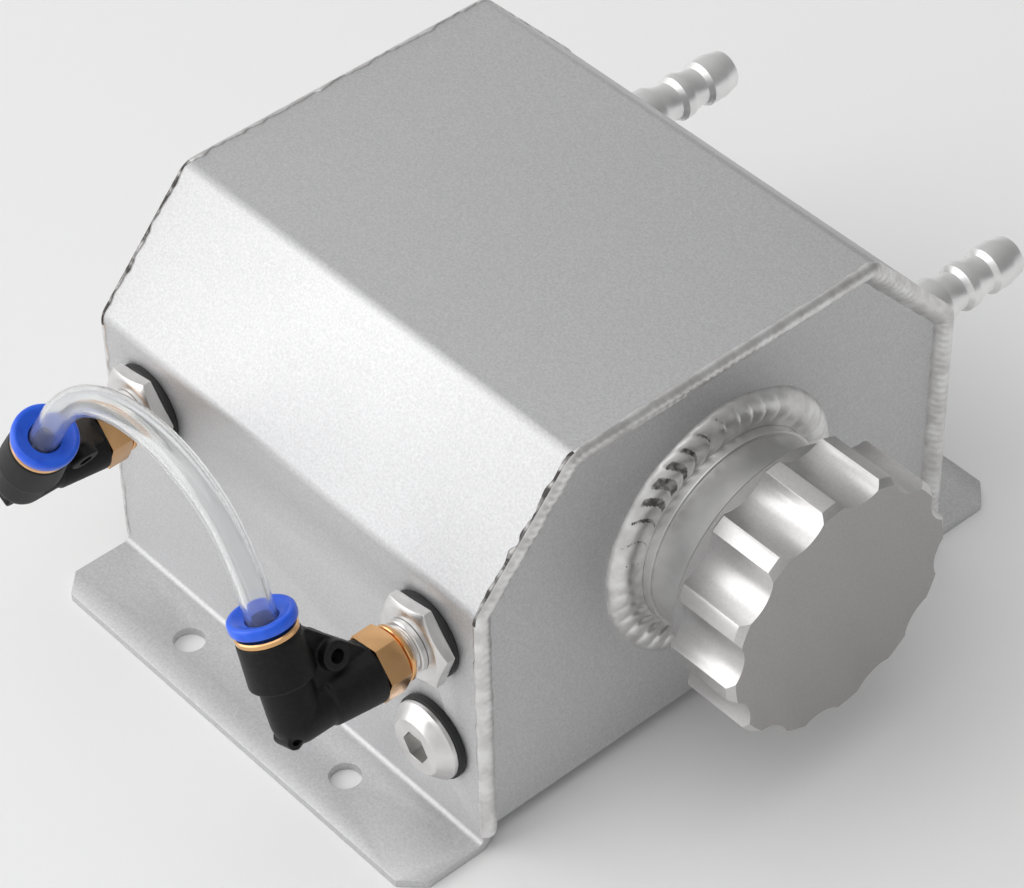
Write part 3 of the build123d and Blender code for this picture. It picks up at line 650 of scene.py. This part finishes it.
# Washers: three thick rubber rings, two under the level tube's port fittings and one under
# the drain plug, each squeezed to a soft edge.
washer_outline = [(0.0, 5.2), (0.0, 8.6), (0.1, 8.8), (0.35, 8.9), (1.25, 8.9), (1.5, 8.8),
                  (1.6, 8.6), (1.6, 5.2)]
washers = (("port_washer_1", port_x, port_z, 0.0, "tank"),
           ("port_washer_2", -port_x, port_z, 0.0, "tank"),
           ("drain_washer", drain_x, drain_z, 0.05, "plug_lift"))
for name, x, z, gap, body in washers:
    washer = turned(f"{name}_ring", washer_outline)
    smooth(washer, 50)
    place(washer, turn_to(x, front_wall - gap, z, "X", 90))
    washer.data.materials.append(rubber)
    belongs(washer, body, "black_rubber", name)


# Port fittings: a thin hexagon and a round collar on a threaded stub, turned and milled in
# one piece. The shank behind the hexagon screws into the bung inside the wall.
def hexagon(flats, start, end, corner):
    """A hexagon bar along +Z between two heights, with one corner at an angle in degrees."""
    bpy.ops.object.select_all(action="DESELECT")
    bpy.ops.mesh.primitive_cylinder_add(
        vertices=6, radius=flats / 2 / math.cos(math.pi / 6) * MM, depth=(end - start) * MM,
        location=(0, 0, (start + end) / 2 * MM), rotation=(0, 0, math.radians(corner - 90)))
    bpy.ops.object.transform_apply(location=True, rotation=True, scale=True)
    return bpy.context.object


def copy_to(piece, name, matrix):
    """A copy of a finished piece at one of its places."""
    activate(piece)
    bpy.ops.object.duplicate()
    copy = bpy.context.object
    copy.name = name
    place(copy, matrix)
    return copy


fitting_metal = turned_metal("fitting_metal", (0.66, 0.65, 0.64), (0.78, 0.77, 0.76), 0.33, (0, 1, 0))
port_hex = hexagon(17.0, 1.6, 4.5, 10)
cone = turned("cone", [(1.0, 9.5), (1.9, 10.6), (3.05, 10.6), (4.5, 7.7), (4.6, 7.5)], 96, ring=False)
cut_with(port_hex, cone, "INTERSECT")
break_edges(port_hex, 0.12 * MM, 2, 20)
stub_thread_radius = 4.74
stub_pitch = 0.5
stub_outline = [(-6.8, 4.3), (-6.2, 4.9), (4.6, 4.9), (4.6, 5.5), (5.55, 5.5), (5.8, 5.25), (5.8, 4.7),
                *thread_rows(5.9, 11.5, stub_thread_radius, stub_pitch), (12.0, 4.3)]
shank = turned("shank", stub_outline, 64, ring=False)
cut_with(port_hex, shank, "UNION")
bore = turned("bore", [(-8.0, 2.5), (13.0, 2.5)], 48, ring=False)
cut_with(port_hex, bore)
cut_thread(port_hex, 5.9, 11.5, stub_thread_radius, stub_pitch, 0.22)
smooth(port_hex)
port_hex.data.materials.append(fitting_metal)

for number, x in ((1, port_x), (2, -port_x)):
    fitting = copy_to(port_hex, f"port_nipple_{number}", turn_to(x, front_wall, port_z, "X", 90))
    belongs(fitting, "tank", "fitting_metal", f"port_fitting_{number}")
bpy.data.objects.remove(port_hex)


# Brass studs: a plain ring and a hexagon that screw over the stub, with a spigot
# pressed into the elbow. Bar brass, turned, with milled flats.
brass = turned_metal("brass", (0.72, 0.41, 0.18), (0.84, 0.5, 0.24), 0.24, (0, 1, 0))
stud = hexagon(12.0, 8.6, 14.0, 10)
cone = turned("cone", [(8.6, 5.3), (9.75, 7.6), (14.1, 7.6)], 96, ring=False)
cut_with(stud, cone, "INTERSECT")
break_edges(stud, 0.12 * MM, 2, 20)
spigot = turned("spigot", [(7.4, 5.0), (7.4, 5.7), (7.6, 5.9), (8.2, 5.9), (8.4, 5.7), (8.45, 5.2),
                           (9.2, 5.2), (9.2, 4.4), (20.7, 4.4), (21.0, 4.1)], 64, ring=False)
cut_with(stud, spigot, "UNION")
bore = turned("bore", [(6.0, 4.95), (12.6, 4.95), (12.6, 2.2), (22.0, 2.2)], 64, ring=False)
cut_with(stud, bore)
smooth(stud)
stud.data.materials.append(brass)
for number, x in ((1, port_x), (2, -port_x)):
    piece = copy_to(stud, f"brass_stud_{number}", turn_to(x, front_wall, port_z, "X", 90))
    belongs(piece, "tank", "brass", f"elbow_stud_{number}")
bpy.data.objects.remove(stud)


# Push-in elbows: glass-filled nylon, moulded in one piece with a web across the inner corner,
# a drilled boss on the web and a small lug behind the bend.
nylon, nodes, links, shader = new_material("black_nylon")
shader.inputs["Roughness"].default_value = 0.5
shader.inputs["Specular IOR Level"].default_value = 0.25
grain = object_noise(nodes, links, 1100.0, 3.0)
links.new(graded(nodes, links, grain, [(0.35, (0.003, 0.003, 0.003)), (0.7, (0.007, 0.007, 0.007))]),
          shader.inputs["Base Color"])
relief(nodes, links, shader, grain, 0.04 * MM, 0.4)

socket_arm = turned("socket_arm", [(0.0, 5.0), (7.9, 5.0), (8.3, 6.4), (17.2, 6.1), (17.6, 5.8)],
                    96, ring=False)
thread_arm = turned("thread_arm", [(0.0, 5.0), (5.8, 5.0), (6.2, 5.5), (16.3, 6.5), (16.7, 6.2)],
                    96, ring=False)
place(thread_arm, turn_to(0, 0, 0, "X", -90))
bpy.ops.mesh.primitive_uv_sphere_add(segments=48, ring_count=24, radius=5.0 * MM,
                                     location=(0, 0, 0))
bend = bpy.context.object
web_outline = ((0, 0), (6.4, 0), (15.6, 0), (15.6, 6.4), (6.4, 15.6), (0, 15.6))
web_mesh = bpy.data.meshes.new("web")
web_mesh.from_pydata([Vector((-3.0, y, z)) * MM for y, z in web_outline], [], [(0, 1, 2, 3, 4, 5)])
web = bpy.data.objects.new("web", web_mesh)
bpy.context.scene.collection.objects.link(web)
activate(web)
bpy.ops.object.mode_set(mode="EDIT")
bpy.ops.mesh.select_all(action="SELECT")
bpy.ops.mesh.extrude_region_move(TRANSFORM_OT_translate={"value": (6 * MM, 0, 0)})
bpy.ops.mesh.select_all(action="SELECT")
bpy.ops.mesh.normals_make_consistent(inside=False)
bpy.ops.object.mode_set(mode="OBJECT")


def pin(radius, length, reach):
    """A round bar along X where both arms' axes are the same distance away."""
    bpy.ops.mesh.primitive_cylinder_add(vertices=48, radius=radius * MM, depth=length * MM,
                                        location=(0, reach * MM, reach * MM),
                                        rotation=(0, math.pi / 2, 0))
    return bpy.context.object


bpy.ops.object.select_all(action="DESELECT")
boss = pin(2.9, 10.4, 9.0)
lug = pin(1.7, 5.0, -2.9)
for piece in (socket_arm, thread_arm, bend, web, boss, lug):
    piece.select_set(True)
bpy.context.view_layer.objects.active = socket_arm
bpy.ops.object.join()
elbow = socket_arm
bpy.ops.object.transform_apply(location=True, rotation=True, scale=True)
apply_modifier(elbow, "REMESH", mode="VOXEL", voxel_size=0.24 * MM)
apply_modifier(elbow, "SMOOTH", factor=0.5, iterations=6)
tube_bore = turned("tube_bore", [(0.0, 2.2), (3.5, 2.2), (3.5, 3.1), (8.5, 3.1), (8.5, 5.0),
                                 (18.5, 5.0)], 64, ring=False)
cut_with(elbow, tube_bore)
stud_bore = turned("stud_bore", [(0.0, 2.2), (9.6, 2.2), (9.6, 4.45), (17.5, 4.45)], 64, ring=False)
place(stud_bore, turn_to(0, 0, 0, "X", -90))
cut_with(elbow, stud_bore)
cut_with(elbow, pin(1.4, 12.0, 9.0))
cut_with(elbow, pin(0.8, 7.0, -2.9))
smooth(elbow, 40)
elbow.data.materials.append(nylon)

# Each elbow is turned on its stud, so that its socket leans by its own angle from +X.
socket_y = -91.7
sockets = ((1, port_x, 112.0), (2, -port_x, 60.0))
for number, x, lean in sockets:
    piece = copy_to(elbow, f"elbow_{number}", turn_to(x, socket_y, port_z, "Y", 90 - lean))
    belongs(piece, "tank", "black_plastic", f"elbow_body_{number}")
bpy.data.objects.remove(elbow)
give(rubber, "tube_seal_1", "tube_seal_2")


# Socket rings and release collars: a thin brass ring lines each socket's mouth, and a glossy
# blue collar with a dished face slides in it to free the tube.
ring_outline = [(11.8, 4.35), (11.8, 4.95), (17.6, 4.95), (17.6, 5.8), (17.75, 5.98), (18.5, 5.98),
                (18.75, 5.75), (18.8, 5.5), (18.8, 4.35)]
blue, nodes, links, shader = new_material("blue_plastic")
shader.inputs["Roughness"].default_value = 0.28
tint = object_noise(nodes, links, 300.0, 2.0)
links.new(graded(nodes, links, tint, [(0.3, (0.01, 0.09, 0.72)), (0.7, (0.02, 0.135, 0.84))]),
          shader.inputs["Base Color"])
relief(nodes, links, shader, object_noise(nodes, links, 900.0, 2.0), 0.03 * MM, 0.3)
collar_outline = [(12.2, 3.25), (12.2, 4.2), (19.6, 4.2), (19.6, 5.9), (19.72, 6.25), (20.0, 6.45),
                  (20.4, 6.5), (21.2, 6.5), (21.6, 6.42), (21.88, 6.2), (22.0, 5.85), (21.96, 5.5),
                  (21.75, 5.1), (21.4, 4.5), (21.1, 3.8), (20.9, 3.25)]
for number, x, lean in sockets:
    socket = turn_to(x, socket_y, port_z, "Y", 90 - lean)
    ring = turned(f"mouth_ring_{number}", ring_outline)
    smooth(ring)
    place(ring, socket)
    ring.data.materials.append(brass)
    belongs(ring, "tank", "brass", f"socket_ring_{number}")
    collar = turned(f"blue_collar_{number}", collar_outline)
    smooth(collar)
    place(collar, socket)
    collar.data.materials.append(blue)
    belongs(collar, f"collar_{number}", "blue_plastic", f"release_collar_{number}")

spring, nodes, links, shader = new_material("spring_steel")
shader.inputs["Base Color"].default_value = (0.5, 0.5, 0.5, 1)
shader.inputs["Metallic"].default_value = 1.0
shader.inputs["Roughness"].default_value = 0.3
relief(nodes, links, shader, object_noise(nodes, links, 2000.0), 0.01 * MM, 0.5)
give(spring, "grab_ring_1", "grab_ring_2")


# Level tube: 6 mm clear polyurethane with a 4 mm bore, straight in the two sockets and bent
# to an arch between them by hand.
def socket_point(x, lean, distance):
    """Point on a socket's axis, at a distance in mm from where the elbow's arms cross."""
    lean = math.radians(lean)
    return (x + distance * math.cos(lean), socket_y, port_z + distance * math.sin(lean))


route = [*(socket_point(-port_x, 60, distance) for distance in (3.6, 22.9, 34.6)),
         (-14.58, socket_y, 88.3), (-1.81, socket_y, 93.5), (11.21, socket_y, 93.2),
         (22.99, socket_y, 87.5),
         *(socket_point(port_x, 112, distance) for distance in (30.4, 19.4, 3.6))]
tube_radius = 3.0 * MM
tube_wall = 1.0 * MM
curve = bpy.data.curves.new("level_tube", "CURVE")
curve.dimensions = "3D"
curve.bevel_depth = tube_radius
curve.bevel_resolution = 9
spline = curve.splines.new("NURBS")
spline.points.add(len(route) - 1)
for point, place_mm in zip(spline.points, route):
    point.co = (*(Vector(place_mm) * MM), 1.0)
spline.order_u = 3
spline.use_endpoint_u = True
spline.resolution_u = 14
tube = bpy.data.objects.new("level_tube", curve)
bpy.context.scene.collection.objects.link(tube)
activate(tube)
bpy.ops.object.convert(target="MESH")
apply_modifier(tube, "SOLIDIFY", thickness=tube_wall, offset=-1.0)
smooth(tube, 50)

clear, nodes, links, shader = new_material("clear_polyurethane")
shader.inputs["Base Color"].default_value = (0.97, 0.98, 0.98, 1)
shader.inputs["Transmission Weight"].default_value = 0.93
shader.inputs["IOR"].default_value = 1.38
haze = object_noise(nodes, links, 160.0, 3.0)
links.new(grey_range(nodes, links, haze, 0.03, 0.14), shader.inputs["Roughness"])
relief(nodes, links, shader, object_noise(nodes, links, 120.0, 2.0), 0.12 * MM, 0.25)
tube.data.materials.append(clear)
belongs(tube, "tank", "clear_plastic", "sight_tube")


# Drain plug: a low head with a rim, a conical flank and a flat face with a 6 mm hexagon key
# hole, on a threaded shank that screws into the bung inside the wall.
plug_thread_radius = 4.6
plug_pitch = 1.0
plug_outline = [(5.1, 5.8), (5.02, 6.0), (4.9, 6.15), (4.2, 6.85), (3.4, 7.6), (2.7, 8.25),
                (2.6, 8.4), (1.7, 8.4), (1.7, plug_thread_radius),
                *thread_rows(1.5, -6.2, plug_thread_radius, plug_pitch), (-6.8, 4.0)]
plug = turned("screw_plug", plug_outline, 96, ring=False)
cut_with(plug, hexagon(6.0, 0.6, 6.0, 0))
break_edges(plug, 0.1 * MM, 2, 20)
cut_thread(plug, -6.2, 1.5, plug_thread_radius, plug_pitch, 0.6)
smooth(plug)
place(plug, turn_to(drain_x, front_wall, drain_z, "X", 90))
plug.data.materials.append(fitting_metal)
belongs(plug, "plug", "fitting_metal", "drain_plug")
give(neck_metal, "port_bung_1", "port_bung_2", "drain_bung")


# Hose barbs: turned aluminium spigots on the back wall, each with a plain root, two ridges
# with sharp backs and flat lands, and a tapered nose.
def curved(start, middle, end, steps=10):
    """Outline points on a smooth curve through three points, without the first."""
    points = []
    for i in range(1, steps + 1):
        t = i / steps
        a, b, c = (2 * t - 1) * (t - 1), 4 * t * (1 - t), t * (2 * t - 1)
        points.append(tuple(a * s + b * m + c * e for s, m, e in zip(start, middle, end)))
    return points


barb_outline = [(-3.5, 3.2), (-3.5, 5.2), (0.0, 5.2), (0.0, 5.6), (10.1, 5.6),
                *curved((10.1, 5.6), (13.2, 4.4), (15.6, 4.15)), (16.5, 5.0), (16.65, 5.1),
                (18.5, 5.1), (18.7, 5.05), *curved((18.7, 5.05), (20.95, 4.35), (23.1, 4.15)),
                (24.0, 5.0), (24.15, 5.1), (28.0, 5.1), (28.25, 5.03), (31.15, 4.42), (31.5, 4.2),
                (31.7, 3.9), (31.7, 3.4), (31.5, 3.2)]
barb_metal = turned_metal("barb_metal", (0.84, 0.835, 0.83), (0.93, 0.925, 0.92), 0.34, (0, 1, 0))
for number, x in ((1, barb_x), (2, -barb_x)):
    barb = turned(f"barb_{number}", barb_outline)
    smooth(barb, 30)
    place(barb, turn_to(x, back_wall, barb_z, "X", -90))
    barb.data.materials.append(barb_metal)
    belongs(barb, "tank", "turned_aluminium", f"hose_barb_{number}")


# Studio: a pale floor, a soft sky and two large soft lamps.
bpy.ops.mesh.primitive_plane_add(size=6.0, location=(0, 0, 0))
floor = bpy.context.object
floor.name = "studio_floor"
material, nodes, links, shader = new_material("studio_floor")
shader.inputs["Base Color"].default_value = (0.88, 0.88, 0.88, 1)
shader.inputs["Roughness"].default_value = 0.9
shader.inputs["Specular IOR Level"].default_value = 0.1
floor.data.materials.append(material)

world = bpy.data.worlds.new("studio_sky")
world.use_nodes = True
nodes, links = world.node_tree.nodes, world.node_tree.links
towards = nodes.new("ShaderNodeVectorMath")
towards.operation = "DOT_PRODUCT"
towards.inputs[1].default_value = (-0.6, -0.8, 0)
links.new(nodes.new("ShaderNodeTexCoord").outputs["Generated"], towards.inputs[0])
sky_range = nodes.new("ShaderNodeMapRange")
for socket, value in (("From Min", -1.0), ("From Max", 1.0), ("To Min", 0.24), ("To Max", 0.98)):
    sky_range.inputs[socket].default_value = value
links.new(towards.outputs["Value"], sky_range.inputs["Value"])
links.new(sky_range.outputs["Result"], nodes["Background"].inputs["Strength"])
nodes["Background"].inputs["Color"].default_value = (1, 1, 1, 1)
bpy.context.scene.world = world


def soft_lamp(name, spot, size, power):
    """A square soft lamp that faces the tank."""
    data = bpy.data.lights.new(name, "AREA")
    data.size = size
    data.energy = power
    lamp = bpy.data.objects.new(name, data)
    bpy.context.scene.collection.objects.link(lamp)
    lamp.location = spot
    aim = Vector((0, 0, 0.04)) - lamp.location
    lamp.rotation_euler = aim.to_track_quat("-Z", "Y").to_euler()


soft_lamp("front_lamp", (-0.9, -1.3, 0.8), 1.7, 14.2)
soft_lamp("top_lamp", (0.1, -0.3, 1.2), 1.0, 3.0)

camera_data = bpy.data.cameras.new("camera")
camera_data.sensor_width = 36.0
camera_data.lens = 133.44
camera = bpy.data.objects.new("camera", camera_data)
bpy.context.scene.collection.objects.link(camera)
camera.location = (0.413024, -0.357671, 0.548614)
camera.rotation_euler = (math.radians(46.3816), math.radians(1.00797), math.radians(48.5096))
bpy.context.scene.camera = camera
bpy.context.scene.view_settings.view_transform = "Standard"
